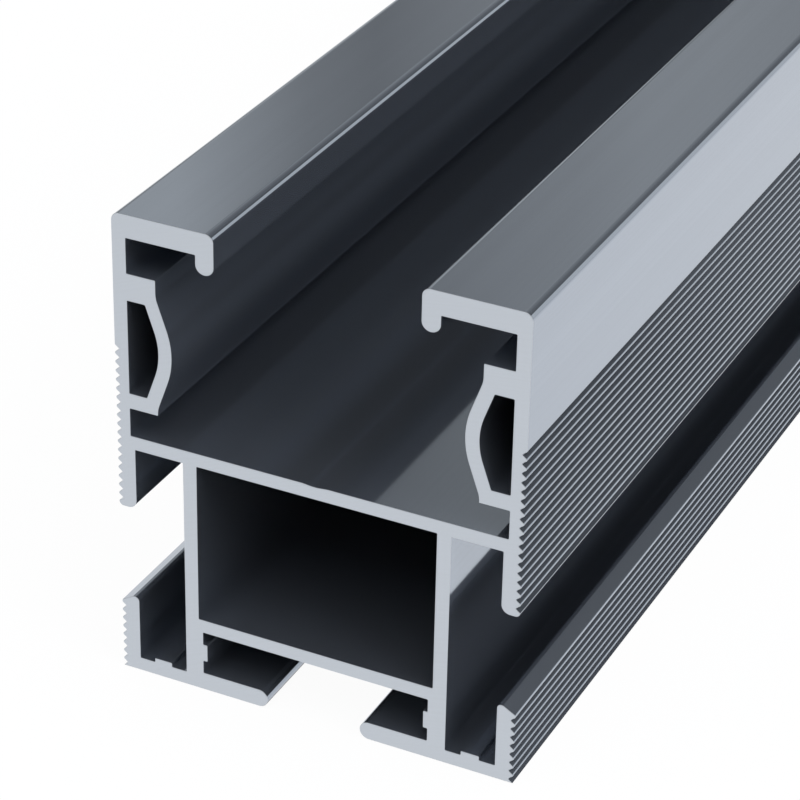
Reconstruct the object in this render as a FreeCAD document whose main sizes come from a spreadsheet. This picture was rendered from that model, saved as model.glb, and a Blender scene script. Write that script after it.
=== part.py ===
import FreeCAD, Part
import math
import os

import Sketcher

# Aluminium solar mounting rail: one extruded section, cut to length.
# Frame: X across the rail, Y along it, Z up; the origin is under the middle of the rail,
# on the plane that the base stands on. Millimetres.

NODE = "rail"

DRIVING_SIZES = {
    "rail_length": 1200.0,
    "overall_width": 60.0,
    "overall_height": 71.0,
    # top flanges with their turned-down hooks
    "flange_thickness": 3.4,
    "channel_mouth": 29.7,
    "hook_thickness": 2.7,
    "hook_drop": 2.65,
    "corner_radius": 1.2,
    # hollow chambers on the inside of the channel walls
    "side_wall": 2.05,
    "nut_groove": 5.2,
    "upper_shelf": 4.0,
    "chamber_height": 14.0,
    "lower_shelf": 2.3,
    "shelf_reach": 4.35,
    "nose_reach": 6.6,
    "nose_radius": 12.0,
    "chamber_wall": 2.0,
    "shoulder_depth": 1.4,
    "shoulder_blend": 4.0,
    # channel floor with its drilling line, and the skirts beside it
    "floor_gap": 4.25,
    "channel_floor": 2.05,
    "drill_line_width": 3.7,
    "drill_line_bottom": 0.9,
    "drill_line_depth": 0.15,
    "skirt_wall": 2.7,
    "skirt_drop": 9.35,
    "skirt_inner_radius": 1.3,
    "skirt_outer_radius": 0.75,
    # hollow box in the middle
    "box_width": 39.8,
    "box_wall": 2.05,
    "box_floor": 2.05,
    # bolt slot under the box
    "slot_lip": 2.7,
    "slot_height": 6.7,
    "slot_width": 34.4,
    "slot_mouth": 14.2,
    # upturned legs outside, with the ledge between leg and box
    "ledge_floor": 2.05,
    "leg_wall": 2.7,
    "leg_height": 12.05,
    "leg_radius": 0.67,
    "leg_chamfer_drop": 1.05,
    "guide_width": 2.7,
    "guide_height": 0.65,
    # serrations on the outer faces
    "tooth_pitch": 1.36,
    "tooth_depth": 0.7,
    "tooth_crest": 0.25,
    "leg_tooth_start": 0.54,
    "leg_tooth_count": 8,
    "wall_tooth_start": 1.25,
    "wall_tooth_count": 18,
}

CUT_OVERSHOOT = 1.0  # how far a cutting outline runs past the face or the end that it opens


class Measure:
    """A number, together with the expression of the driving sizes that gives it."""

    def __init__(self, value, text):
        self.value = value
        self.text = text

    def __add__(self, other):
        other = measure(other)
        return Measure(self.value + other.value, f"({self.text} + {other.text})")

    def __sub__(self, other):
        other = measure(other)
        return Measure(self.value - other.value, f"({self.text} - {other.text})")

    def __mul__(self, other):
        other = measure(other)
        return Measure(self.value * other.value, f"({self.text} * {other.text})")

    def __truediv__(self, other):
        other = measure(other)
        return Measure(self.value / other.value, f"({self.text} / {other.text})")

    def __neg__(self):
        return Measure(-self.value, f"(0 - {self.text})")

    def root(self):
        return Measure(math.sqrt(self.value), f"sqrt({self.text})")


def measure(number):
    return number if isinstance(number, Measure) else Measure(float(number), str(number))


def size(name):
    return Measure(float(DRIVING_SIZES[name]), "Sizes." + name)


# Places in the section. The right half is drawn and then mirrored, so X counts from the middle.
ZERO = measure(0)

OUTER = size("overall_width") / 2
WALL_INNER = OUTER - size("side_wall")
SKIRT_INNER = OUTER - size("skirt_wall")
LEG_INNER = OUTER - size("leg_wall")
BOX_OUTER = size("box_width") / 2
BOX_INNER = BOX_OUTER - size("box_wall")
SLOT_SIDE = size("slot_width") / 2
HOOK_FACE = size("channel_mouth") / 2
HOOK_BACK = HOOK_FACE + size("hook_thickness")
SHELF_END = WALL_INNER - size("shelf_reach")

SLOT_ROOF = size("slot_lip") + size("slot_height")
BOX_BOTTOM = SLOT_ROOF + size("box_floor")
TOP = size("overall_height")
FLANGE_UNDER = TOP - size("flange_thickness")
SHELF_TOP = FLANGE_UNDER - size("nut_groove")
CHAMBER_TOP = SHELF_TOP - size("upper_shelf")
CHAMBER_BOTTOM = CHAMBER_TOP - size("chamber_height")
SHELF_UNDER = CHAMBER_BOTTOM - size("lower_shelf")
FLOOR_TOP = SHELF_UNDER - size("floor_gap")
FLOOR_UNDER = FLOOR_TOP - size("channel_floor")
SKIRT_TIP = FLOOR_UNDER - size("skirt_drop")


class Section:
    """Draws closed outlines across the rail and extrudes them over its length."""

    def __init__(self, doc, body):
        self.doc = doc
        self.body = body
        self.origin = {feature.Role: feature for feature in body.Origin.OriginFeatures}

    def sketch(self, name, path):
        """A closed outline of points (x, z). A third value is the radius of the arc that ends there:
        positive where the way round turns left, negative where it turns right."""
        sketch = self.body.newObject("Sketcher::SketchObject", name + "_outline")
        sketch.AttachmentSupport = [(self.origin["XZ_Plane"], "")]
        sketch.MapMode = "FlatFace"
        places = [FreeCAD.Vector(point[0].value, point[1].value, 0) for point in path]
        edges = []
        for index, point in enumerate(path):
            begin = places[index - 1]
            end = places[index]
            bend = point[2].value if len(point) > 2 else 0.0
            curve = arc_between(begin, end, bend) if bend else Part.LineSegment(begin, end)
            number = sketch.addGeometry(curve, False)
            first, last = (2, 1) if bend < 0 else (1, 2)
            edges.append(((number, first), (number, last)))
        join_outline(sketch, edges)
        dimension_outline(sketch, path, places, edges)
        return sketch

    def add(self, name, path):
        """Extrudes an outline over the whole length."""
        pad = self.body.newObject("PartDesign::Pad", name)
        pad.Profile = self.sketch(name, path)
        pad.SideType = "Symmetric"
        pad.setExpression("Length", size("rail_length").text)
        self.doc.recompute()
        return pad

    def cut(self, name, path):
        """Cuts an outline away over the whole length."""
        before = self.body.Shape.Volume
        pocket = self.body.newObject("PartDesign::Pocket", name)
        pocket.Profile = self.sketch(name, path)
        pocket.SideType = "Symmetric"
        pocket.setExpression("Length", (size("rail_length") + 2 * CUT_OVERSHOOT).text)
        self.doc.recompute()
        if self.body.Shape.Volume >= before:
            raise RuntimeError(f"{name} cuts nothing away")
        return pocket

    def repeat_upwards(self, name, feature, spacing, count):
        pattern = self.body.newObject("PartDesign::LinearPattern", name)
        pattern.Originals = [feature]
        pattern.Direction = (self.origin["Z_Axis"], [""])
        pattern.Mode = "Spacing"
        pattern.setExpression("Offset", spacing.text)
        pattern.setExpression("Occurrences", count.text)
        self.body.Tip = pattern
        self.doc.recompute()
        return pattern

    def mirror_whole(self, name):
        mirrored = self.body.newObject("PartDesign::Mirrored", name)
        mirrored.TransformMode = "Whole shape"
        mirrored.MirrorPlane = (self.origin["YZ_Plane"], [""])
        self.body.Tip = mirrored
        self.doc.recompute()
        return mirrored


def arc_between(begin, end, bend):
    """The short arc of radius |bend| from begin to end, turning left where bend is positive."""
    chord = end - begin
    rise = math.sqrt(bend * bend - chord.Length * chord.Length / 4)
    left = FreeCAD.Vector(-chord.y, chord.x, 0).normalize()
    centre = (begin + end) / 2 + left * math.copysign(rise, bend)
    first, last = (begin, end) if bend > 0 else (end, begin)
    circle = Part.Circle(centre, FreeCAD.Vector(0, 0, 1), abs(bend))
    first_angle = math.atan2(first.y - centre.y, first.x - centre.x)
    last_angle = math.atan2(last.y - centre.y, last.x - centre.x)
    return Part.ArcOfCircle(circle, first_angle, last_angle)


def join_outline(sketch, edges):
    """Ties the end of each edge to the start of the next."""
    for index, (start, _) in enumerate(edges):
        previous_end = edges[index - 1][1]
        sketch.addConstraint(Sketcher.Constraint("Coincident", *previous_end, *start))


def dimension_outline(sketch, path, places, edges):
    """Squares the straight edges and gives every place that is left, and every arc, its dimension."""
    directions = (
        (0, "Vertical", "DistanceX", -2),
        (1, "Horizontal", "DistanceY", -1),
    )
    for axis, straight, distance, zero_axis in directions:
        group = list(range(len(path)))
        for index, point in enumerate(path):
            in_line = point[axis].text == path[index - 1][axis].text
            old, new = group[index], group[index - 1]
            if len(point) == 2 and in_line and old != new:
                sketch.addConstraint(Sketcher.Constraint(straight, edges[index][0][0]))
                group = [new if member == old else member for member in group]
        for index, point in enumerate(path):
            if group[index] != index:
                continue
            end = edges[index][1]
            if point[axis] is ZERO:
                sketch.addConstraint(Sketcher.Constraint("PointOnObject", *end, zero_axis))
                continue
            constraint = Sketcher.Constraint(distance, -1, 1, *end, places[index][axis])
            bind(sketch, constraint, point[axis])
    for index, point in enumerate(path):
        if len(point) > 2:
            radius = -point[2] if point[2].value < 0 else point[2]
            bind(sketch, Sketcher.Constraint("Radius", edges[index][0][0], radius.value), radius)


def bind(sketch, constraint, value):
    number = sketch.addConstraint(constraint)
    sketch.setExpression(f"Constraints[{number}]", value.text)


def draw_channel_floor(section):
    """The web across the rail, with a shallow drilling line along its middle."""
    groove_edge = size("drill_line_width") / 2
    groove_bottom = size("drill_line_bottom") / 2
    groove_z = FLOOR_TOP - size("drill_line_depth")
    section.add("channel_floor", [
        (ZERO, FLOOR_UNDER),
        (OUTER, FLOOR_UNDER),
        (OUTER, FLOOR_TOP),
        (groove_edge, FLOOR_TOP),
        (groove_bottom, groove_z),
        (ZERO, groove_z),
    ])


def draw_side_wall(section):
    """The channel's side wall, which runs down past the floor as a thicker skirt with a rounded tip."""
    inner_radius = size("skirt_inner_radius")
    outer_radius = size("skirt_outer_radius")
    section.add("side_wall", [
        (SKIRT_INNER, FLOOR_UNDER),
        (SKIRT_INNER, SKIRT_TIP + inner_radius),
        (SKIRT_INNER + inner_radius, SKIRT_TIP, inner_radius),
        (OUTER - outer_radius, SKIRT_TIP),
        (OUTER, SKIRT_TIP + outer_radius, outer_radius),
        (OUTER, FLANGE_UNDER),
        (WALL_INNER, FLANGE_UNDER),
        (WALL_INNER, FLOOR_UNDER),
    ])


def draw_flange(section):
    """The top flange that the module rests on, with the hook that holds the clamp's nut."""
    corner = size("corner_radius")
    tip_radius = size("hook_thickness") / 2
    hook_bottom = FLANGE_UNDER - size("hook_drop")
    hook_round = hook_bottom + tip_radius
    section.add("flange", [
        (OUTER, FLANGE_UNDER),
        (OUTER, TOP - corner),
        (OUTER - corner, TOP, corner),
        (HOOK_FACE + corner, TOP),
        (HOOK_FACE, TOP - corner, corner),
        (HOOK_FACE, hook_round),
        (HOOK_FACE + tip_radius, hook_bottom, tip_radius),
        (HOOK_BACK, hook_round, tip_radius),
        (HOOK_BACK, FLANGE_UNDER),
    ])


def draw_chamber(section):
    """The hollow chamber on the wall: two shelves, joined by a wall that bulges into the channel.

    The bulge is a round nose at mid-height. From it, two straight slopes that touch the nose run
    back to the ends of the shelves, where a blend turns them upright.
    """
    nose_radius = size("nose_radius")
    middle = (CHAMBER_TOP + CHAMBER_BOTTOM) / 2
    centre = WALL_INNER - size("nose_reach") + nose_radius

    # The tangent from the end of a shelf to the nose gives the direction of the slope.
    across = centre - SHELF_END
    up = size("chamber_height") / 2 + size("shoulder_depth")
    distance_squared = across * across + up * up
    tangent = (distance_squared - nose_radius * nose_radius).root()
    slope_cos = (across * nose_radius + up * tangent) / distance_squared
    slope_sin = (up * nose_radius - across * tangent) / distance_squared

    blend = size("shoulder_blend")
    blend_run = blend * slope_sin / (slope_cos + 1)
    upright_end = up + blend_run
    slope_end_x = SHELF_END - blend_run * slope_sin
    slope_end = up - blend_run * slope_cos
    touch_x = centre - nose_radius * slope_cos
    touch = nose_radius * slope_sin
    section.add("chamber", [
        (WALL_INNER, SHELF_UNDER),
        (WALL_INNER, SHELF_TOP),
        (SHELF_END, SHELF_TOP),
        (SHELF_END, middle + upright_end),
        (slope_end_x, middle + slope_end, -blend),
        (touch_x, middle + touch),
        (touch_x, middle - touch, nose_radius),
        (slope_end_x, middle - slope_end),
        (SHELF_END, middle - upright_end, -blend),
        (SHELF_END, SHELF_UNDER),
    ])

    inner_radius = nose_radius - size("chamber_wall")
    inner_touch_x = centre - inner_radius * slope_cos
    inner_touch = inner_radius * slope_sin
    corner_x = inner_touch_x + (size("chamber_height") / 2 - inner_touch) * slope_sin / slope_cos
    section.cut("chamber_hollow", [
        (WALL_INNER, CHAMBER_BOTTOM),
        (WALL_INNER, CHAMBER_TOP),
        (corner_x, CHAMBER_TOP),
        (inner_touch_x, middle + inner_touch),
        (inner_touch_x, middle - inner_touch, inner_radius),
        (corner_x, CHAMBER_BOTTOM),
    ])


def draw_box(section):
    """The closed box under the channel, which gives the rail its stiffness."""
    section.add("box_wall", [
        (BOX_INNER, SLOT_ROOF),
        (BOX_OUTER, SLOT_ROOF),
        (BOX_OUTER, FLOOR_UNDER),
        (BOX_INNER, FLOOR_UNDER),
    ])
    section.add("box_floor", [
        (ZERO, SLOT_ROOF),
        (BOX_OUTER, SLOT_ROOF),
        (BOX_OUTER, BOX_BOTTOM),
        (ZERO, BOX_BOTTOM),
    ])


def draw_bolt_slot(section):
    """The slot under the box: a side wall with a raised guide, and a lip with a full round edge."""
    guide_x = SLOT_SIDE - size("guide_height")
    guide_middle = size("slot_lip") + size("slot_height") / 2
    guide_top = guide_middle + size("guide_width") / 2
    guide_bottom = guide_middle - size("guide_width") / 2
    section.add("slot_wall", [
        (BOX_OUTER, ZERO),
        (BOX_OUTER, SLOT_ROOF),
        (SLOT_SIDE, SLOT_ROOF),
        (SLOT_SIDE, guide_top),
        (guide_x, guide_top),
        (guide_x, guide_bottom),
        (SLOT_SIDE, guide_bottom),
        (SLOT_SIDE, ZERO),
    ])
    lip = size("slot_lip")
    lip_radius = lip / 2
    lip_tip = size("slot_mouth") / 2
    section.add("slot_lip", [
        (BOX_OUTER, ZERO),
        (BOX_OUTER, lip),
        (lip_tip + lip_radius, lip),
        (lip_tip, lip_radius, lip_radius),
        (lip_tip + lip_radius, ZERO, lip_radius),
    ])


def draw_leg(section):
    """The ledge beside the box, with its raised guide, and the upturned leg at its outer edge."""
    ledge = size("ledge_floor")
    guide_middle = (BOX_OUTER + LEG_INNER) / 2
    guide_inner = guide_middle - size("guide_width") / 2
    guide_outer = guide_middle + size("guide_width") / 2
    guide_top = ledge + size("guide_height")
    section.add("ledge", [
        (BOX_OUTER, ZERO),
        (LEG_INNER, ZERO),
        (LEG_INNER, ledge),
        (guide_outer, ledge),
        (guide_outer, guide_top),
        (guide_inner, guide_top),
        (guide_inner, ledge),
        (BOX_OUTER, ledge),
    ])

    # The leg's top slopes up from its outer edge and runs on into the round above its inner face.
    radius = size("leg_radius")
    leg_top = size("leg_height")
    across = size("leg_wall") - radius
    up = radius - size("leg_chamfer_drop")
    distance_squared = across * across + up * up
    tangent = (distance_squared - radius * radius).root()
    touch_x = radius * (across * radius - up * tangent) / distance_squared
    touch_z = radius * (up * radius + across * tangent) / distance_squared
    section.add("leg", [
        (LEG_INNER, ZERO),
        (OUTER, ZERO),
        (OUTER, leg_top - size("leg_chamfer_drop")),
        (LEG_INNER + radius + touch_x, leg_top - radius + touch_z),
        (LEG_INNER, leg_top - radius, radius),
    ])


def cut_teeth(section, name, lowest, count):
    """A band of V grooves on the outer face, one above the other."""
    half_groove = (size("tooth_pitch") - size("tooth_crest")) / 2
    outside = OUTER + CUT_OVERSHOOT
    groove = section.cut(name, [
        (OUTER - size("tooth_depth"), lowest),
        (OUTER, lowest - half_groove),
        (outside, lowest - half_groove),
        (outside, lowest + half_groove),
        (OUTER, lowest + half_groove),
    ])
    section.repeat_upwards(name + "_band", groove, size("tooth_pitch"), count)


def make_sheet(doc):
    sheet = doc.addObject("Spreadsheet::Sheet", "Sizes")
    for row, (name, value) in enumerate(DRIVING_SIZES.items(), start=1):
        sheet.set(f"A{row}", name)
        sheet.set(f"B{row}", str(value))
        sheet.setAlias(f"B{row}", name)
    doc.recompute()


def make_rail(doc):
    body = doc.addObject("PartDesign::Body", NODE)
    body.Label = NODE
    body.Placement = FreeCAD.Placement()
    section = Section(doc, body)
    draw_channel_floor(section)
    draw_side_wall(section)
    draw_flange(section)
    draw_chamber(section)
    draw_box(section)
    draw_bolt_slot(section)
    draw_leg(section)
    cut_teeth(section, "leg_groove", size("leg_tooth_start"), size("leg_tooth_count"))
    wall_start = SKIRT_TIP + size("wall_tooth_start")
    cut_teeth(section, "wall_groove", wall_start, size("wall_tooth_count"))
    section.mirror_whole("both_halves")
    return body


def check(doc, body):
    for item in doc.Objects:
        if "Invalid" in item.State or "Error" in item.State:
            raise RuntimeError(f"{item.Label} failed: {item.State}")
        if item.TypeId == "Sketcher::SketchObject" and not item.FullyConstrained:
            raise RuntimeError(f"{item.Label} is not fully constrained")
    shape = body.Shape
    if shape.isNull() or not shape.isValid():
        raise RuntimeError(f"{body.Label} has no valid shape")
    if len(shape.Solids) != 1:
        raise RuntimeError(f"{body.Label} is {len(shape.Solids)} solids, not one")
    length = DRIVING_SIZES["rail_length"]
    box = shape.BoundBox
    print(f"{body.Label}: {box.XLength:.3f} x {box.YLength:.3f} x {box.ZLength:.3f} mm")
    print(f"section area {shape.Volume / length:.1f} mm2, {len(shape.Faces)} faces")


def main():
    os.makedirs("parts", exist_ok=True)
    doc = FreeCAD.newDocument("solar_rail")
    make_sheet(doc)
    body = make_rail(doc)
    doc.recompute()
    check(doc, body)
    body.Shape.exportStep(f"parts/{body.Label}.step")


main()
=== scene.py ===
import math
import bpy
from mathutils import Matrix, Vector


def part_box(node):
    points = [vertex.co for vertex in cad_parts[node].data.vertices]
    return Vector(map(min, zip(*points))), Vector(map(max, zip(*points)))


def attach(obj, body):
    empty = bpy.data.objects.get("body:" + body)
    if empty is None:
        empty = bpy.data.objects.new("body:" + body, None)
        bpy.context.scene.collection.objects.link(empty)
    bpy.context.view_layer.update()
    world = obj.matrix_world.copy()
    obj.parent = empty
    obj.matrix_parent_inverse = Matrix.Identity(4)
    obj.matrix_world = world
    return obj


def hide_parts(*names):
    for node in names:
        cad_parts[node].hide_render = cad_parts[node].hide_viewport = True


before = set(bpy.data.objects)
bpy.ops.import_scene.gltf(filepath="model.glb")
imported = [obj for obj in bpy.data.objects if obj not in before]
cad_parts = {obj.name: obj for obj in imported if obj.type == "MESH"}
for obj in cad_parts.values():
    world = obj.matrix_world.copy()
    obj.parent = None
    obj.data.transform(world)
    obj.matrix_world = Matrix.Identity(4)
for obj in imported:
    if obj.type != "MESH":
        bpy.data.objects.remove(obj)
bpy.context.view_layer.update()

from types import SimpleNamespace

import bmesh
import bpy
from bpy.props import FloatProperty, FloatVectorProperty, IntProperty, PointerProperty
from mathutils import Matrix, Vector

bl_info = {
    "name": "Solar mounting rail",
    "version": (1, 0, 0),
    "blender": (4, 5, 0),
    "location": "View3D > Sidebar > Solar Rail",
    "description": "An extruded aluminium mounting rail for solar modules, with its studio stage",
    "category": "Add Mesh",
}

# The rail lies along Y with its base on Z = 0. Properties are in metres, and the section is drawn in
# millimetres, because the fill and the merges are more exact at that scale.
MM = 0.001
NODE = "rail"
RAIL_LOW, RAIL_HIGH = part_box(NODE)
RAIL_SIZE = RAIL_HIGH - RAIL_LOW

# Steps in an arc and in the small round of a corner. A line that turns by more than the corner angle
# and less than the acute one has a corner to round. Edges beyond the sharp angle stay sharp.
ARC_STEPS = 12
CORNER_STEPS = 5
CORNER_ANGLE = math.radians(25)
ACUTE_TURN = math.radians(120)
SHARP_ANGLE = math.radians(24)
MERGE_DISTANCE = 1e-3

# How far a face's normal points along the rail where the face is the flat end, and where it is sawn.
FLAT_END = 0.9
SAWN_FACE = 0.5


def length(name, description, millimetres):
    """A size in the sidebar, given in millimetres."""
    return FloatProperty(
        name=name,
        description=description,
        default=millimetres * MM,
        min=0.0,
        unit="LENGTH",
        subtype="DISTANCE",
        precision=5,
    )


def share(name, description, default, high=1.0):
    return FloatProperty(name=name, description=description, default=default, min=0.0, max=high)


def watts(name, description, default):
    return FloatProperty(name=name, description=description, default=default, min=0.0, unit="POWER")


def whole_number(name, description, default):
    return IntProperty(name=name, description=description, default=default, min=1)


def colour(name, description, default):
    return FloatVectorProperty(
        name=name,
        description=description,
        default=default,
        size=3,
        min=0.0,
        max=1.0,
        subtype="COLOR",
    )


def angle(name, description, degrees):
    return FloatProperty(
        name=name,
        description=description,
        default=math.radians(degrees),
        subtype="ANGLE",
        unit="ROTATION",
    )


class RailSizes(bpy.types.PropertyGroup):
    """Sizes of the section and of the length of stock."""

    rail_length: length("Rail length", "Length the stock is sawn to", RAIL_SIZE.y / MM)
    overall_width: length("Overall width", "Width over the outer faces", RAIL_SIZE.x / MM)
    overall_height: length("Overall height", "Height from base to flanges", RAIL_SIZE.z / MM)
    flange_thickness: length("Flange thickness", "Thickness of the top flanges", 3.4)
    channel_mouth: length("Channel mouth", "Gap between the two hooks", 29.7)
    hook_thickness: length("Hook thickness", "Thickness of a turned-down hook", 2.7)
    hook_drop: length("Hook drop", "How far a hook reaches below its flange", 2.65)
    corner_radius: length("Flange corner", "Radius on the edges of the flanges", 1.2)
    side_wall: length("Side wall", "Thickness of the channel's side walls", 2.05)
    nut_groove: length("Nut groove", "Height of the groove under a flange", 5.2)
    upper_shelf: length("Upper shelf", "Thickness of the chamber's top", 4.0)
    chamber_height: length("Chamber height", "Height inside a hollow chamber", 14.0)
    lower_shelf: length("Lower shelf", "Thickness of the chamber's bottom", 2.3)
    shelf_reach: length("Shelf reach", "How far a shelf stands out from its wall", 4.35)
    nose_reach: length("Nose reach", "How far the bulge stands out from the wall", 6.6)
    nose_radius: length("Nose radius", "Radius of the bulge", 12.0)
    chamber_wall: length("Chamber wall", "Thickness of the bulging wall", 2.0)
    shoulder_depth: length("Shoulder depth", "Where the slope leaves the shelf", 1.4)
    shoulder_blend: length("Shoulder blend", "Radius between shelf and slope", 4.0)
    floor_gap: length("Floor gap", "Height between chamber and channel floor", 4.25)
    channel_floor: length("Channel floor", "Thickness of the channel's floor", 2.05)
    drill_line_width: length("Drilling line width", "Width at the top of the line", 3.7)
    drill_line_bottom: length("Drilling line bottom", "Width at the bottom of the line", 0.9)
    drill_line_depth: length("Drilling line depth", "Depth of the drilling line", 0.15)
    skirt_wall: length("Skirt wall", "Thickness of the skirts below the floor", 2.7)
    skirt_drop: length("Skirt drop", "How far a skirt hangs below the floor", 9.35)
    skirt_inner_radius: length("Skirt inner radius", "Round on the inside of its tip", 1.3)
    box_width: length("Box width", "Outer width of the box", 39.8)
    box_wall: length("Box wall", "Thickness of the box's sides", 2.05)
    box_floor: length("Box floor", "Thickness of the box's bottom", 2.05)
    slot_lip: length("Slot lip", "Thickness of the lips beside the slot's mouth", 2.7)
    slot_height: length("Slot height", "Height inside the bolt slot", 6.7)
    slot_width: length("Slot width", "Width inside the bolt slot", 34.4)
    slot_mouth: length("Slot mouth", "Gap between the lips", 14.2)
    ledge_floor: length("Ledge floor", "Thickness of the ledge outside the box", 2.05)
    leg_wall: length("Leg wall", "Thickness of the upturned legs", 2.7)
    leg_height: length("Leg height", "Height of the upturned legs", 12.05)
    leg_radius: length("Leg radius", "Round on the inside of a leg's top", 0.67)
    leg_chamfer_drop: length("Leg chamfer drop", "How far a leg's top slopes down", 1.05)
    guide_width: length("Guide width", "Width of the raised guides", 2.7)
    guide_height: length("Guide height", "Height of the raised guides", 0.65)
    tooth_pitch: length("Serration pitch", "Distance from notch to notch", 1.36)
    tooth_depth: length("Serration depth", "Depth of a notch", 0.7)
    tooth_crest: length("Serration crest", "Flat left between two notches", 0.25)
    leg_tooth_start: length("Leg serrations", "Height of the lowest notch on a leg", 0.54)
    leg_tooth_count: whole_number("Leg notches", "Notches on a leg", 8)
    wall_tooth_start: length("Wall serrations", "Lowest notch above the skirt's tip", 1.25)
    wall_tooth_count: whole_number("Wall notches", "Notches on a wall", 18)
    die_radius: length("Die radius", "Small round that the die leaves on square corners", 0.15)
    tooth_radius: length("Serration radius", "Small round on the crests and in the notches", 0.12)
    saw_chamfer: length("Sawn edge", "Width of the broken edge round a sawn end", 0.04)


class RailFinish(bpy.types.PropertyGroup):
    """Colours and finish of the aluminium."""

    skin_colour: colour("Skin colour", "Colour of the extruded faces", (0.356, 0.398, 0.460))
    skin_metal: share("Skin metal", "Share of bare metal; the rest is matt oxide", 0.93)
    skin_dull: share("Skin dull", "Roughness in the dull die lines", 0.06)
    skin_bright: share("Skin bright", "Roughness between the die lines", 0.035)
    line_width: length("Die line width", "Typical width of a die line", 0.35)
    line_depth: length("Die line depth", "Depth of the die lines", 0.0002)
    sawn_colour: colour("Sawn colour", "Colour of the sawn ends", (0.563, 0.602, 0.655))
    sawn_roughness: share("Sawn roughness", "Roughness of the sawn ends", 0.40)
    blade_radius: length("Blade radius", "Radius of the saw's marks", 150.0)
    saw_mark: length("Saw marks", "Distance between two saw marks", 0.45)
    saw_depth: length("Saw mark depth", "Depth of the saw marks", 0.004)


class StudioSettings(bpy.types.PropertyGroup):
    """Floor, surroundings, lamps and camera."""

    floor_size: length("Floor size", "Side of the square floor", 40000.0)
    floor_drop: length("Floor drop", "Gap that keeps the floor clear of the base", 0.1)
    floor_white: share("Floor white", "Share of plain white that the floor shows", 0.96)
    floor_colour: colour("Floor colour", "Colour of the floor", (0.6, 0.6, 0.6))
    floor_near: length("Floor near", "How far from the rail's line the floor dims in metal", 110.0)
    floor_fade: length("Floor fade", "How far from the rail's line it has dimmed", 450.0)
    floor_far: share("Floor far", "How bright metal shows the floor beyond that", 0.7)
    shade_level: share("Shade level", "How bright metal shows the floor under the rail", 0.05)
    sky_level: share("Sky level", "Light of the surroundings on matt faces", 1.0, 4.0)
    side_power: watts("Side lamp power", "Power of the side lamp", 145.0)
    side_turn: angle("Side lamp turn", "Its direction, to the right of straight in front", 75.0)
    side_rise: angle("Side lamp rise", "Its height above the horizon", 35.0)
    top_power: watts("Top lamp power", "Power of the top lamp", 88.0)
    top_turn: angle("Top lamp turn", "Its direction, to the right of straight in front", 12.0)
    top_rise: angle("Top lamp rise", "Its height above the horizon", 58.0)
    lamp_colour: colour("Lamp colour", "Colour of the soft lamps", (0.87, 0.90, 1.0))
    lamp_size: length("Lamp size", "Side of the square lamps", 2800.0)
    lamp_distance: length("Lamp distance", "From the middle of the rail to the lamps", 4000.0)
    canopy_radius: length("Canopy radius", "Radius of the grey canopy over the stage", 30000.0)
    canopy_rise: angle("Canopy rise", "Height of the canopy's rim above the horizon", 1.0)
    canopy_tint: colour("Canopy tint", "Tint of the canopy", (0.95, 0.96, 0.943))
    second_mirror: share("Second mirror", "How bright the stage stays after a second bounce", 0.02)
    camera_turn: angle("Camera turn", "How far the camera turns from the rail's direction", 25.565)
    camera_rise: angle("Camera rise", "How far the camera looks down", 29.608)
    camera_roll: angle("Camera roll", "Tilt of the picture", 1.238)
    camera_side: length("Camera side", "Camera's distance to the right of the middle", 160.22)
    camera_back: length("Camera back", "Camera's distance in front of the sawn end", 309.57)
    camera_height: length("Camera height", "Camera's height above the floor", 249.14)
    lens: FloatProperty(
        name="Lens", description="Focal length on the sensor's width", default=139.72, unit="CAMERA"
    )


def in_millimetres(group):
    """The group's lengths in millimetres and its counts as they are, under the same names."""
    sizes = SimpleNamespace()
    for name, setting in group.bl_rna.properties.items():
        if setting.type == "FLOAT":
            setattr(sizes, name, getattr(group, name) / MM)
        elif setting.type == "INT":
            setattr(sizes, name, getattr(group, name))
    return sizes


def add_places(s):
    """Places in the right half of the section, worked out from the sizes."""
    s.outer = s.overall_width / 2
    s.wall_inner = s.outer - s.side_wall
    s.skirt_inner = s.outer - s.skirt_wall
    s.leg_inner = s.outer - s.leg_wall
    s.box_outer = s.box_width / 2
    s.box_inner = s.box_outer - s.box_wall
    s.slot_side = s.slot_width / 2
    s.hook_face = s.channel_mouth / 2
    s.hook_back = s.hook_face + s.hook_thickness
    s.shelf_end = s.wall_inner - s.shelf_reach

    s.slot_roof = s.slot_lip + s.slot_height
    s.box_bottom = s.slot_roof + s.box_floor
    s.top = s.overall_height
    s.flange_under = s.top - s.flange_thickness
    s.shelf_top = s.flange_under - s.nut_groove
    s.chamber_top = s.shelf_top - s.upper_shelf
    s.chamber_bottom = s.chamber_top - s.chamber_height
    s.shelf_under = s.chamber_bottom - s.lower_shelf
    s.floor_top = s.shelf_under - s.floor_gap
    s.floor_under = s.floor_top - s.channel_floor
    s.skirt_tip = s.floor_under - s.skirt_drop
    s.notch_half = (s.tooth_pitch - s.tooth_crest) / 2
    return s


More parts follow.
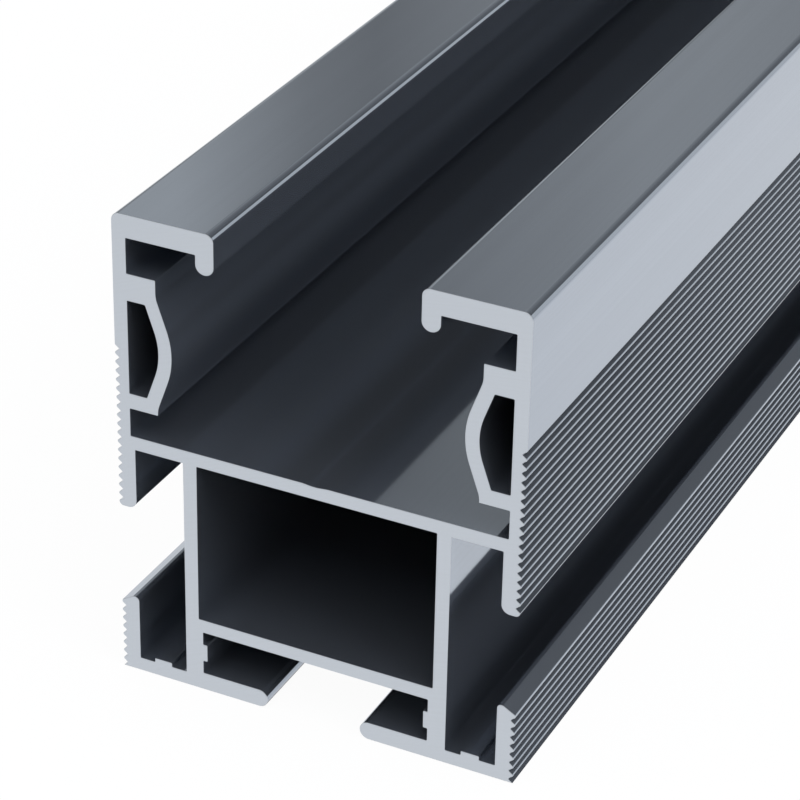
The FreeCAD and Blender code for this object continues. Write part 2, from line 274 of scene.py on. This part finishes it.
class SectionPen:
    """Draws the section's lines: a straight run extrudes the last point, and an arc spins it."""

    def __init__(self, mesh, x, z):
        self.mesh = mesh
        self.point = mesh.verts.new((x, 0.0, z))

    def line_to(self, x, z):
        drawn = bmesh.ops.extrude_vert_indiv(self.mesh, verts=[self.point])
        self.point = drawn["verts"][0]
        self.point.co = (x, 0.0, z)

    def arc_to(self, x, z, bend):
        """Spins to (x, z) on a radius of abs(bend), to the left where bend is positive."""
        end = Vector((x, 0.0, z))
        chord = end - self.point.co
        rise = math.sqrt(bend * bend - chord.length_squared / 4)
        left = Vector((-chord.z, 0.0, chord.x)).normalized()
        centre = (self.point.co + end) / 2 + left * math.copysign(rise, bend)
        turn = 2 * math.asin(chord.length / (2 * abs(bend)))
        drawn = bmesh.ops.spin(
            self.mesh,
            geom=[self.point],
            cent=centre,
            axis=(0.0, -1.0, 0.0),
            angle=math.copysign(turn, bend),
            steps=ARC_STEPS,
            use_merge=False,
        )
        last = drawn["geom_last"]
        self.point = next(item for item in last if isinstance(item, bmesh.types.BMVert))
        self.point.co = end


def draw_outline(mesh, places):
    """Draws through places (x, z). A third value is the radius of the arc that ends there."""
    pen = SectionPen(mesh, *places[0])
    for place in places[1:]:
        if len(place) > 2:
            pen.arc_to(*place)
        else:
            pen.line_to(*place)


def notches(s, lowest, count):
    """The places of a band of V notches up the outer face, with the crests between them."""
    places = []
    for number in range(count):
        middle = lowest + number * s.tooth_pitch
        places += [
            (s.outer, middle - s.notch_half),
            (s.outer - s.tooth_depth, middle),
            (s.outer, middle + s.notch_half),
        ]
    return places


def slot_places(s):
    """From the middle of the bolt slot's roof, down its side and round the lip to the base."""
    lip_radius = s.slot_lip / 2
    lip_tip = s.slot_mouth / 2
    guide_middle = s.slot_lip + s.slot_height / 2
    guide_side = s.slot_side - s.guide_height
    return [
        (0.0, s.slot_roof),
        (s.slot_side, s.slot_roof),
        (s.slot_side, guide_middle + s.guide_width / 2),
        (guide_side, guide_middle + s.guide_width / 2),
        (guide_side, guide_middle - s.guide_width / 2),
        (s.slot_side, guide_middle - s.guide_width / 2),
        (s.slot_side, s.slot_lip),
        (lip_tip + lip_radius, s.slot_lip),
        (lip_tip, lip_radius, lip_radius),
        (lip_tip + lip_radius, 0.0, lip_radius),
    ]


def leg_places(s):
    """The base's outer edge, the serrated leg with its sloping top, and the ledge with its guide."""
    base_edge = s.outer - s.tooth_depth * (1 - s.leg_tooth_start / s.notch_half)
    across = s.leg_wall - s.leg_radius
    up = s.leg_radius - s.leg_chamfer_drop
    distance_squared = across * across + up * up
    tangent = math.sqrt(distance_squared - s.leg_radius * s.leg_radius)
    touch_x = s.leg_radius * (across * s.leg_radius - up * tangent) / distance_squared
    touch_z = s.leg_radius * (up * s.leg_radius + across * tangent) / distance_squared
    guide_middle = (s.box_outer + s.leg_inner) / 2
    guide_top = s.ledge_floor + s.guide_height
    return [
        (base_edge, 0.0),
        *notches(s, s.leg_tooth_start, s.leg_tooth_count)[1:],
        (s.outer, s.leg_height - s.leg_chamfer_drop),
        (s.leg_inner + s.leg_radius + touch_x, s.leg_height - s.leg_radius + touch_z),
        (s.leg_inner, s.leg_height - s.leg_radius, s.leg_radius),
        (s.leg_inner, s.ledge_floor),
        (guide_middle + s.guide_width / 2, s.ledge_floor),
        (guide_middle + s.guide_width / 2, guide_top),
        (guide_middle - s.guide_width / 2, guide_top),
        (guide_middle - s.guide_width / 2, s.ledge_floor),
        (s.box_outer, s.ledge_floor),
    ]


def skirt_places(s):
    """The side of the box, the skirt with its round tip, and the serrated outer face."""
    outer_radius = s.wall_tooth_start - s.notch_half
    return [
        (s.box_outer, s.floor_under),
        (s.skirt_inner, s.floor_under),
        (s.skirt_inner, s.skirt_tip + s.skirt_inner_radius),
        (s.skirt_inner + s.skirt_inner_radius, s.skirt_tip, s.skirt_inner_radius),
        (s.outer - outer_radius, s.skirt_tip),
        (s.outer, s.skirt_tip + outer_radius, outer_radius),
        *notches(s, s.skirt_tip + s.wall_tooth_start, s.wall_tooth_count)[1:],
    ]


def flange_places(s):
    """The top flange with its hook, as far as the nut groove's inner corner."""
    tip_radius = s.hook_thickness / 2
    hook_bottom = s.flange_under - s.hook_drop
    return [
        (s.outer, s.top - s.corner_radius),
        (s.outer - s.corner_radius, s.top, s.corner_radius),
        (s.hook_face + s.corner_radius, s.top),
        (s.hook_face, s.top - s.corner_radius, s.corner_radius),
        (s.hook_face, hook_bottom + tip_radius),
        (s.hook_face + tip_radius, hook_bottom, tip_radius),
        (s.hook_back, hook_bottom + tip_radius, tip_radius),
        (s.hook_back, s.flange_under),
        (s.wall_inner, s.flange_under),
        (s.wall_inner, s.shelf_top),
    ]


def nose_slope(s):
    """The nose's centre, and the sine and cosine of the slopes that touch it from the shelves."""
    centre = s.wall_inner - s.nose_reach + s.nose_radius
    across = centre - s.shelf_end
    up = s.chamber_height / 2 + s.shoulder_depth
    distance_squared = across * across + up * up
    tangent = math.sqrt(distance_squared - s.nose_radius * s.nose_radius)
    slope_cos = (across * s.nose_radius + up * tangent) / distance_squared
    slope_sin = (up * s.nose_radius - across * tangent) / distance_squared
    return centre, up, slope_cos, slope_sin


def bulge_places(s):
    """The chamber's outside: two shelves and between them a round nose on two straight slopes."""
    centre, up, slope_cos, slope_sin = nose_slope(s)
    middle = (s.chamber_top + s.chamber_bottom) / 2
    blend_run = s.shoulder_blend * slope_sin / (slope_cos + 1)
    upright_end = up + blend_run
    slope_x = s.shelf_end - blend_run * slope_sin
    slope_end = up - blend_run * slope_cos
    touch_x = centre - s.nose_radius * slope_cos
    touch = s.nose_radius * slope_sin
    return [
        (s.shelf_end, s.shelf_top),
        (s.shelf_end, middle + upright_end),
        (slope_x, middle + slope_end, -s.shoulder_blend),
        (touch_x, middle + touch),
        (touch_x, middle - touch, s.nose_radius),
        (slope_x, middle - slope_end),
        (s.shelf_end, middle - upright_end, -s.shoulder_blend),
        (s.shelf_end, s.shelf_under),
        (s.wall_inner, s.shelf_under),
    ]


def floor_places(s):
    """The channel's floor, in to the middle of the drilling line."""
    line_z = s.floor_top - s.drill_line_depth
    return [
        (s.wall_inner, s.floor_top),
        (s.drill_line_width / 2, s.floor_top),
        (s.drill_line_bottom / 2, line_z),
        (0.0, line_z),
    ]


def chamber_places(s):
    """The chamber's hollow, parallel to the bulge outside it."""
    centre, _, slope_cos, slope_sin = nose_slope(s)
    middle = (s.chamber_top + s.chamber_bottom) / 2
    inner_radius = s.nose_radius - s.chamber_wall
    touch_x = centre - inner_radius * slope_cos
    touch = inner_radius * slope_sin
    corner_x = touch_x + (s.chamber_height / 2 - touch) * slope_sin / slope_cos
    return [
        (s.wall_inner, s.chamber_bottom),
        (s.wall_inner, s.chamber_top),
        (corner_x, s.chamber_top),
        (touch_x, middle + touch),
        (touch_x, middle - touch, inner_radius),
        (corner_x, s.chamber_bottom),
        (s.wall_inner, s.chamber_bottom),
    ]


def box_places(s):
    """The inside of the box, from the middle of its bottom to the middle of its roof."""
    return [
        (0.0, s.box_bottom),
        (s.box_inner, s.box_bottom),
        (s.box_inner, s.floor_under),
        (0.0, s.floor_under),
    ]


def turn_at(point):
    """How far the line turns at a point, or nothing at a line's end."""
    if len(point.link_edges) != 2:
        return 0.0
    before, after = (edge.other_vert(point).co - point.co for edge in point.link_edges)
    return math.pi - before.angle(after)


def soften_corners(mesh, s):
    """Rounds the corners as the die does: more on plain corners, less on the serrations."""
    serrated_from = s.outer - s.tooth_depth - s.tooth_radius
    for radius, serrated in ((s.die_radius, False), (s.tooth_radius, True)):
        corners = [
            point
            for point in mesh.verts
            if CORNER_ANGLE < turn_at(point) < ACUTE_TURN
            and (point.co.x > serrated_from) == serrated
            and all(edge.calc_length() > 2 * radius for edge in point.link_edges)
        ]
        bmesh.ops.bevel(
            mesh,
            geom=corners,
            offset=radius,
            offset_type="OFFSET",
            segments=CORNER_STEPS,
            profile=0.5,
            affect="VERTICES",
            material=-1,
        )


def draw_section(mesh, s):
    """Draws the right half of the section, mirrors it and fills it between its loops."""
    outer = slot_places(s) + leg_places(s) + skirt_places(s) + flange_places(s)
    outer += bulge_places(s) + floor_places(s)
    draw_outline(mesh, outer)
    draw_outline(mesh, box_places(s))
    draw_outline(mesh, chamber_places(s))
    bmesh.ops.remove_doubles(mesh, verts=mesh.verts, dist=MERGE_DISTANCE)
    soften_corners(mesh, s)
    half = mesh.verts[:] + mesh.edges[:]
    bmesh.ops.mirror(mesh, geom=half, axis="X", merge_dist=MERGE_DISTANCE)
    bmesh.ops.triangle_fill(
        mesh, use_beauty=True, use_dissolve=False, edges=mesh.edges[:], normal=(0.0, -1.0, 0.0)
    )


def extrude_length(mesh, s):
    """Extrudes the section, and breaks the edges round both sawn ends."""
    between_rims = s.rail_length - 2 * s.saw_chamfer
    made = bmesh.ops.extrude_face_region(mesh, geom=mesh.faces[:])
    far_points = [item for item in made["geom"] if isinstance(item, bmesh.types.BMVert)]
    bmesh.ops.translate(mesh, verts=far_points, vec=(0.0, between_rims, 0.0))
    bmesh.ops.translate(mesh, verts=mesh.verts, vec=(0.0, -between_rims / 2, 0.0))
    bmesh.ops.recalc_face_normals(mesh, faces=mesh.faces)
    for direction in (-1, 1):
        end = [face for face in mesh.faces if face.normal.y * direction > FLAT_END]
        bmesh.ops.inset_region(
            mesh,
            faces=end,
            use_boundary=True,
            use_even_offset=True,
            thickness=s.saw_chamfer,
            depth=s.saw_chamfer,
        )


def finish_shading(mesh):
    """Smooth arcs between sharp edges, and the sawn material on whatever faces along the rail."""
    for face in mesh.faces:
        face.smooth = True
        face.material_index = 1 if abs(face.normal.y) > SAWN_FACE else 0
    for edge in mesh.edges:
        edge.smooth = edge.calc_face_angle(0.0) < SHARP_ANGLE


# The part of its range that a noise mostly keeps to.
NOISE_LOW = 0.3
NOISE_HIGH = 0.7


class NodeGraph:
    """Adds nodes to a material or world, with their inputs set or linked by name or number."""

    def __init__(self, owner):
        owner.use_nodes = True
        self.tree = owner.node_tree
        self.tree.nodes.clear()

    def add(self, kind, label, inputs=None, **settings):
        node = self.tree.nodes.new(kind)
        node.label = label
        for name, value in settings.items():
            setattr(node, name, value)
        for name, value in (inputs or {}).items():
            if isinstance(value, bpy.types.NodeSocket):
                self.tree.links.new(value, node.inputs[name])
            else:
                node.inputs[name].default_value = value
        return node

    def maths(self, label, operation, first, second=0.0):
        node = self.add("ShaderNodeMath", label, {0: first, 1: second}, operation=operation)
        return node.outputs[0]

    def noise(self, label, place, scale, detail):
        """A noise stretched by a scale of its own along each axis."""
        stretched = self.add(
            "ShaderNodeMapping", label + " place",
            {"Vector": place, "Scale": scale},
        ).outputs[0]
        node = self.add(
            "ShaderNodeTexNoise", label,
            {"Vector": stretched, "Scale": 1.0, "Detail": detail},
        )
        return node.outputs["Fac"]

    def remap(self, label, value, from_low, from_high, low=0.0, high=1.0):
        """Maps a value onto low to high, and holds it there outside its range."""
        ends = {"From Min": from_low, "From Max": from_high, "To Min": low, "To Max": high}
        return self.add("ShaderNodeMapRange", label, {"Value": value, **ends}).outputs[0]

    def spread(self, label, value, low, high):
        """Maps a noise, which keeps near its middle, onto low to high."""
        return self.remap(label, value, NOISE_LOW, NOISE_HIGH, low, high)

    def mix_values(self, label, factor, first, second):
        return self.add("ShaderNodeMix", label, {0: factor, 2: first, 3: second}).outputs[0]

    def mix_colours(self, label, factor, first, second):
        node = self.add("ShaderNodeMix", label, {0: factor, 6: first, 7: second}, data_type="RGBA")
        return node.outputs[2]

    def ramp(self, label, value, stops):
        """A grey ramp from a list of (place, brightness)."""
        node = self.add("ShaderNodeValToRGB", label, {"Fac": value})
        marks = node.color_ramp.elements
        while len(marks) < len(stops):
            marks.new(1.0)
        for mark, (place, brightness) in zip(marks, stops):
            mark.position = place
            mark.color = (brightness, brightness, brightness, 1.0)
        return node.outputs["Color"]

    def mirror_depth(self, later):
        """One as far as the first bounce, and the given share once the light has bounced again."""
        path = self.add("ShaderNodeLightPath", "bounces so far").outputs
        bounces = self.maths("bounces", "ADD", path["Glossy Depth"], path["Diffuse Depth"])
        return self.remap("first bounce or later", bounces, 1.0, 2.0, 1.0, later)

    def seen_directly(self):
        """One for camera, glossy and transmission rays, and nothing for rays that light matt faces."""
        path = self.add("ShaderNodeLightPath", "kind of ray").outputs
        mirrored = path["Is Glossy Ray"]
        through_glass = path["Is Transmission Ray"]
        bent = self.maths("mirrored or through glass", "MAXIMUM", mirrored, through_glass)
        return self.maths("seen directly", "MAXIMUM", path["Is Camera Ray"], bent)

    def object_place(self, label):
        """The place in the object's own coordinates."""
        return self.add("ShaderNodeTexCoord", label).outputs["Object"]

    def glow(self, label, colour_value, strength):
        inputs = {"Color": colour_value, "Strength": strength}
        return self.add("ShaderNodeEmission", label, inputs).outputs[0]

    def relief(self, label, height, depth):
        inputs = {"Height": height, "Strength": 1.0, "Distance": depth}
        return self.add("ShaderNodeBump", label, inputs).outputs[0]

    def finish_surface(self, shader):
        self.add("ShaderNodeOutputMaterial", "surface", {"Surface": shader})


WHITE = (1.0, 1.0, 1.0, 1.0)


def rgba(colour_value, brightness=1.0):
    return (*(channel * brightness for channel in colour_value), 1.0)


# The die's faint marks: fine lines and wider dull bands, counted per metre along the rail, and the
# darkest and brightest tone of both beside the plain colour.
LINES_ALONG = 0.9
BANDS_ALONG = 0.5
LINES_IN_BAND = 12
BAND_SHARE = 0.6
LINE_TONES = (0.965, 1.03)


def skin_material(finish):
    """Mill finish: bright metal with fine lines along the rail, where the die has drawn it."""
    material = bpy.data.materials.new("mill_finish_skin")
    graph = NodeGraph(material)
    line_scale = 1 / finish.line_width
    band_scale = line_scale / LINES_IN_BAND
    place = graph.object_place("place on the rail")
    lines = graph.noise("die lines", place, (line_scale, LINES_ALONG, line_scale), 2.0)
    bands = graph.noise("dull bands", place, (band_scale, BANDS_ALONG, band_scale), 3.0)
    both = graph.mix_values("lines over bands", BAND_SHARE, lines, bands)
    tone = graph.mix_colours(
        "tone of the lines",
        graph.spread("tone", both, 0.0, 1.0),
        rgba(finish.skin_colour, LINE_TONES[0]),
        rgba(finish.skin_colour, LINE_TONES[1]),
    )
    shader = graph.add(
        "ShaderNodeBsdfPrincipled", "aluminium",
        {
            "Base Color": tone,
            "Metallic": finish.skin_metal,
            "Roughness": graph.spread("dull lines", both, finish.skin_bright, finish.skin_dull),
            "Normal": graph.relief("line relief", lines, finish.line_depth),
        },
    )
    graph.finish_surface(shader.outputs[0])
    return material


# The saw's faint marks: the blade's middle is below the base, aside by a share of its radius.
BLADE_ASIDE = 0.35
GRAINS_PER_METRE = 2200
GRAIN_SHARE = 0.33
MARK_TONES = (0.98, 1.02)
MARK_ROUGHNESS = 0.04


def sawn_material(finish):
    """Sawn face: satin metal with the faint curved marks of the blade's teeth."""
    material = bpy.data.materials.new("sawn_end")
    graph = NodeGraph(material)
    place = graph.object_place("place on the end")
    flat = graph.add(
        "ShaderNodeMapping", "seen from the end",
        {"Vector": place, "Scale": (1.0, 0.0, 1.0)},
    ).outputs[0]
    from_blade = graph.add(
        "ShaderNodeVectorMath", "distance from the blade's middle",
        {0: flat, 1: (BLADE_ASIDE * finish.blade_radius, 0.0, -finish.blade_radius)},
        operation="DISTANCE",
    ).outputs["Value"]
    spacing = graph.maths("mark spacing", "DIVIDE", from_blade, finish.saw_mark)
    marks = graph.add(
        "ShaderNodeTexNoise", "blade marks",
        {"W": spacing, "Scale": 1.0, "Detail": 2.0},
        noise_dimensions="1D",
    ).outputs["Fac"]
    grain = graph.noise("torn grain", place, (GRAINS_PER_METRE,) * 3, 2.0)
    tone = graph.mix_colours(
        "tone of the marks",
        graph.spread("tone", marks, 0.0, 1.0),
        rgba(finish.sawn_colour, MARK_TONES[0]),
        rgba(finish.sawn_colour, MARK_TONES[1]),
    )
    smooth = finish.sawn_roughness - MARK_ROUGHNESS
    rough = finish.sawn_roughness + MARK_ROUGHNESS
    height = graph.mix_values("marks and grain", GRAIN_SHARE, marks, grain)
    shader = graph.add(
        "ShaderNodeBsdfPrincipled", "sawn aluminium",
        {
            "Base Color": tone,
            "Metallic": 1.0,
            "Roughness": graph.spread("dull marks", marks, smooth, rough),
            "Normal": graph.relief("saw relief", height, finish.saw_depth),
        },
    )
    graph.finish_surface(shader.outputs[0])
    return material


def add_object(context, name, mesh, materials):
    """Turns a finished bmesh into an object at the origin."""
    data = bpy.data.meshes.new(name)
    mesh.to_mesh(data)
    mesh.free()
    for material in materials:
        data.materials.append(material)
    piece = bpy.data.objects.new(name, data)
    context.scene.collection.objects.link(piece)
    return piece


class SOLAR_RAIL_OT_rail_stock(bpy.types.Operator):
    """Model the length of extruded rail"""

    bl_idname = "solar_rail.rail_stock"
    bl_label = "Rail Stock"

    def execute(self, context):
        sizes = add_places(in_millimetres(context.scene.solar_rail_sizes))
        mesh = bmesh.new()
        draw_section(mesh, sizes)
        extrude_length(mesh, sizes)
        finish_shading(mesh)
        bmesh.ops.scale(mesh, vec=(MM, MM, MM), verts=mesh.verts)
        finish = context.scene.solar_rail_finish
        materials = [skin_material(finish), sawn_material(finish)]
        rail = add_object(context, "rail_stock", mesh, materials)
        shading = rail.modifiers.new("Flat faces stay flat", "WEIGHTED_NORMAL")
        shading.keep_sharp = True
        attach(rail, "root")
        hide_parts(NODE)
        return {"FINISHED"}


def floor_material(studio):
    """A pale floor that shows mostly plain white and keeps the rail's shadow."""
    material = bpy.data.materials.new("studio_floor")
    graph = NodeGraph(material)
    matt = graph.add("ShaderNodeBsdfDiffuse", "matt floor", {"Color": rgba(studio.floor_colour)})
    place = graph.object_place("place on the floor")
    across = graph.add("ShaderNodeSeparateXYZ", "across the floor", {0: place}).outputs["X"]
    away = graph.maths("distance from the rail's line", "ABSOLUTE", across)
    near = studio.floor_near
    fade = studio.floor_fade
    fall_off = graph.remap("fall-off", away, near, fade, 1.0, studio.floor_far)
    mirrored = graph.add("ShaderNodeLightPath", "kind of ray").outputs["Is Glossy Ray"]
    in_metal = graph.mix_values("fall-off in metal only", mirrored, 1.0, fall_off)
    depth = graph.mirror_depth(studio.second_mirror)
    strength = graph.maths("first mirror", "MULTIPLY", in_metal, depth)
    white = graph.glow("plain white", WHITE, strength)
    amount = graph.maths("share of white", "MULTIPLY", graph.seen_directly(), studio.floor_white)
    mixed = graph.add("ShaderNodeMixShader", "floor", {0: amount, 1: matt.outputs[0], 2: white})
    graph.finish_surface(mixed.outputs[0])
    return material


# The canopy's brightness by direction, in degrees to the right of the rail's far end.
CANOPY_SIDES = [
    (-180, 0.35), (-100, 0.45), (-60, 0.35), (-45, 0.28), (-36, 0.38), (-34, 0.60), (-31, 0.59),
    (-30, 0.51), (-29, 0.32), (-27.5, 0.25), (-26.5, 0.21), (-25.5, 0.25), (-24.8, 0.36),
    (-24.3, 0.35), (-23.7, 0.315), (-22.8, 0.345), (-21.5, 0.42), (-20, 0.425), (-16, 0.33),
    (-10, 0.29), (-3, 0.24), (3, 0.22), (9, 0.15), (22, 0.11), (24.5, 0.11), (26.5, 0.05),
    (32, 0.05), (45, 0.15), (60, 0.45), (100, 0.55), (180, 0.35),
]
# How high its pale rim stands in each direction. These heights and those below are in degrees above
# the horizon: where the sides turn darker, and where the light overhead begins and is full.
CANOPY_RIM = [
    (-180, 6), (-70, 6), (-60, 0), (-20, 0), (0, 6), (22, 6), (27, 19), (31, 22), (60, 22), (75, 6),
    (180, 6),
]
DARKER_FROM = 34
DARKER_TO = 40
OVERHEAD_FROM = 45
OVERHEAD_TO = 75
RIM_BLUR = 1
HIGH_SIDES = 0.8
RIM_TONE = 0.85
OVERHEAD_TONE = 0.7
CANOPY_STEPS = 48


def share_round(degrees):
    """A direction as a share of the way round, from straight behind."""
    return degrees / 360 + 0.5


def share_up(degrees):
    """A height above the horizon as a share of the way to overhead."""
    return degrees / 90


def grey(brightness):
    return rgba((brightness, brightness, brightness))


def canopy_tone(graph, around, up, rim_height):
    """The canopy's brightness: its sides, the light overhead, and the pale rim below both."""
    darker_from = share_up(DARKER_FROM)
    darker_to = share_up(DARKER_TO)
    softened = graph.remap("darker higher up", up, darker_from, darker_to, 1.0, HIGH_SIDES)
    dimmed = graph.add(
        "ShaderNodeVectorMath", "sides by height",
        {0: around, "Scale": softened},
        operation="SCALE",
    ).outputs[0]
    overhead = graph.remap("overhead light", up, share_up(OVERHEAD_FROM), share_up(OVERHEAD_TO))
    under = graph.maths("under", "SUBTRACT", rim_height, up)
    blur = share_up(RIM_BLUR)
    below_rim = graph.remap("below the rim", under, -blur, blur)
    lit = graph.mix_colours("overhead", overhead, dimmed, grey(OVERHEAD_TONE))
    return graph.mix_colours("pale rim", below_rim, lit, grey(RIM_TONE))


def canopy_material(studio):
    """A grey studio ceiling with softer and darker sides, which only mirror-like faces show."""
    material = bpy.data.materials.new("studio_canopy")
    graph = NodeGraph(material)
    direction = graph.add(
        "ShaderNodeVectorMath", "direction",
        {0: graph.object_place("place on the canopy")},
        operation="NORMALIZE",
    ).outputs[0]
    parts = graph.add("ShaderNodeSeparateXYZ", "parts", {0: direction}).outputs
    compass = graph.maths("compass", "ARCTAN2", parts["X"], parts["Y"])
    turns = graph.remap("turns", compass, -math.pi, math.pi)
    height = graph.maths("height", "ARCSINE", parts["Z"])
    up = graph.maths("share of the way up", "DIVIDE", height, math.pi / 2)
    sides = [(share_round(degrees), brightness) for degrees, brightness in CANOPY_SIDES]
    rim = [(share_round(degrees), share_up(rise)) for degrees, rise in CANOPY_RIM]
    around = graph.ramp("sides", turns, sides)
    rim_height = graph.ramp("height of the pale rim", turns, rim)
    tinted = graph.add(
        "ShaderNodeVectorMath", "tinted",
        {0: canopy_tone(graph, around, up, rim_height), 1: studio.canopy_tint},
        operation="MULTIPLY",
    ).outputs[0]
    strength = graph.mirror_depth(studio.second_mirror)
    graph.finish_surface(graph.glow("canopy", tinted, strength))
    return material


def shade_material(studio):
    """The dark that metal shows where the rail keeps the light off the floor."""
    material = bpy.data.materials.new("studio_shade")
    graph = NodeGraph(material)
    graph.finish_surface(graph.glow("shaded floor", WHITE, studio.shade_level))
    return material


def only_in_metal(piece):
    """Leaves a stage piece to be seen in the metal's reflections alone."""
    piece.visible_camera = False
    piece.visible_diffuse = False
    piece.visible_shadow = False
    piece.visible_transmission = False


def add_floor(context, studio):
    mesh = bmesh.new()
    bmesh.ops.create_grid(mesh, x_segments=1, y_segments=1, size=studio.floor_size / 2)
    bmesh.ops.translate(mesh, verts=mesh.verts, vec=(0.0, 0.0, -studio.floor_drop))
    add_object(context, "studio_floor", mesh, [floor_material(studio)])


def add_shade(context, studio):
    """The shaded strips of floor under the rail, one on each side of its slot."""
    sizes = context.scene.solar_rail_sizes
    width = (sizes.overall_width - sizes.slot_mouth) / 2
    mesh = bmesh.new()
    for side in (-1, 1):
        corners = bmesh.ops.create_grid(mesh, x_segments=1, y_segments=1, size=0.5)["verts"]
        bmesh.ops.scale(mesh, verts=corners, vec=(width, sizes.rail_length, 1.0))
        middle = side * (sizes.slot_mouth + width) / 2
        bmesh.ops.translate(mesh, verts=corners, vec=(middle, 0.0, -studio.floor_drop / 2))
    only_in_metal(add_object(context, "studio_shade", mesh, [shade_material(studio)]))


def add_canopy(context, studio):
    mesh = bmesh.new()
    bmesh.ops.create_uvsphere(
        mesh, u_segments=CANOPY_STEPS, v_segments=CANOPY_STEPS // 2, radius=studio.canopy_radius
    )
    rim_height = studio.canopy_radius * math.sin(studio.canopy_rise)
    bmesh.ops.bisect_plane(
        mesh,
        geom=mesh.verts[:] + mesh.edges[:] + mesh.faces[:],
        plane_co=(0.0, 0.0, rim_height),
        plane_no=(0.0, 0.0, 1.0),
        clear_inner=True,
    )
    only_in_metal(add_object(context, "studio_canopy", mesh, [canopy_material(studio)]))


def add_surroundings(context, studio):
    """White where it is seen or mirrored, and a plain level of light on matt faces."""
    world = bpy.data.worlds.new("studio_surroundings")
    graph = NodeGraph(world)
    level = graph.add(
        "ShaderNodeBackground", "light on matt faces",
        {"Color": WHITE, "Strength": studio.sky_level},
    )
    white = graph.add(
        "ShaderNodeBackground", "white background",
        {"Color": WHITE, "Strength": graph.mirror_depth(studio.second_mirror)},
    )
    mixed = graph.add(
        "ShaderNodeMixShader", "surroundings",
        {0: graph.seen_directly(), 1: level.outputs[0], 2: white.outputs[0]},
    )
    graph.add("ShaderNodeOutputWorld", "world", {"Surface": mixed.outputs[0]})
    context.scene.world = world


def add_lamp(context, studio, name, power, turn, rise):
    """A large soft lamp that lights matt faces and gives the floor a soft shadow."""
    data = bpy.data.lights.new(name, "AREA")
    data.energy = power
    data.color = studio.lamp_colour
    data.size = studio.lamp_size
    lamp = bpy.data.objects.new(name, data)
    around = Matrix.Rotation(turn, 4, "Z")
    tip = Matrix.Rotation(math.pi / 2 - rise, 4, "X")
    lamp.matrix_world = around @ tip @ Matrix.Translation((0.0, 0.0, studio.lamp_distance))
    lamp.visible_glossy = False
    context.scene.collection.objects.link(lamp)


SENSOR_WIDTH = 36.0


def add_camera(context, studio):
    """The photograph's view of the near end."""
    data = bpy.data.cameras.new("camera")
    data.lens = studio.lens
    data.sensor_width = SENSOR_WIDTH
    data.clip_start = 0.01
    data.clip_end = 100.0
    camera = bpy.data.objects.new("camera", data)
    sawn_end = -context.scene.solar_rail_sizes.rail_length / 2
    stand = Vector((studio.camera_side, sawn_end - studio.camera_back, studio.camera_height))
    turn = Matrix.Rotation(studio.camera_turn, 4, "Z")
    look_down = Matrix.Rotation(math.pi / 2 - studio.camera_rise, 4, "X")
    roll = Matrix.Rotation(studio.camera_roll, 4, "Z")
    camera.matrix_world = Matrix.Translation(stand) @ turn @ look_down @ roll
    context.scene.collection.objects.link(camera)
    context.scene.camera = camera


class SOLAR_RAIL_OT_studio_stage(bpy.types.Operator):
    """Set up the floor, the shade under the rail, the canopy, the lamps and the camera"""

    bl_idname = "solar_rail.studio_stage"
    bl_label = "Studio Stage"

    def execute(self, context):
        studio = context.scene.solar_rail_studio
        context.scene.view_settings.view_transform = "Standard"
        add_floor(context, studio)
        add_shade(context, studio)
        add_canopy(context, studio)
        add_surroundings(context, studio)
        add_lamp(context, studio, "side_lamp", studio.side_power, studio.side_turn, studio.side_rise)
        add_lamp(context, studio, "top_lamp", studio.top_power, studio.top_turn, studio.top_rise)
        add_camera(context, studio)
        return {"FINISHED"}


class SOLAR_RAIL_PT_sidebar(bpy.types.Panel):
    """Lists the steps that build the rail and its stage"""

    bl_idname = "SOLAR_RAIL_PT_sidebar"
    bl_label = "Solar Mounting Rail"
    bl_space_type = "VIEW_3D"
    bl_region_type = "UI"
    bl_category = "Solar Rail"

    def draw(self, context):
        for step in OPERATORS:
            self.layout.operator(step.bl_idname)
        for group in (
            context.scene.solar_rail_sizes,
            context.scene.solar_rail_finish,
            context.scene.solar_rail_studio,
        ):
            box = self.layout.box()
            for name in group.__annotations__:
                box.prop(group, name)


GROUPS = {
    "solar_rail_sizes": RailSizes,
    "solar_rail_finish": RailFinish,
    "solar_rail_studio": StudioSettings,
}
OPERATORS = (SOLAR_RAIL_OT_rail_stock, SOLAR_RAIL_OT_studio_stage)
CLASSES = (*GROUPS.values(), *OPERATORS, SOLAR_RAIL_PT_sidebar)


def register():
    for item in CLASSES:
        bpy.utils.register_class(item)
    for name, group in GROUPS.items():
        setattr(bpy.types.Scene, name, PointerProperty(type=group))


def unregister():
    for name in GROUPS:
        delattr(bpy.types.Scene, name)
    for item in reversed(CLASSES):
        bpy.utils.unregister_class(item)


def main():
    register()
    bpy.ops.solar_rail.rail_stock()
    bpy.ops.solar_rail.studio_stage()


if __name__ == "__main__":
    main()
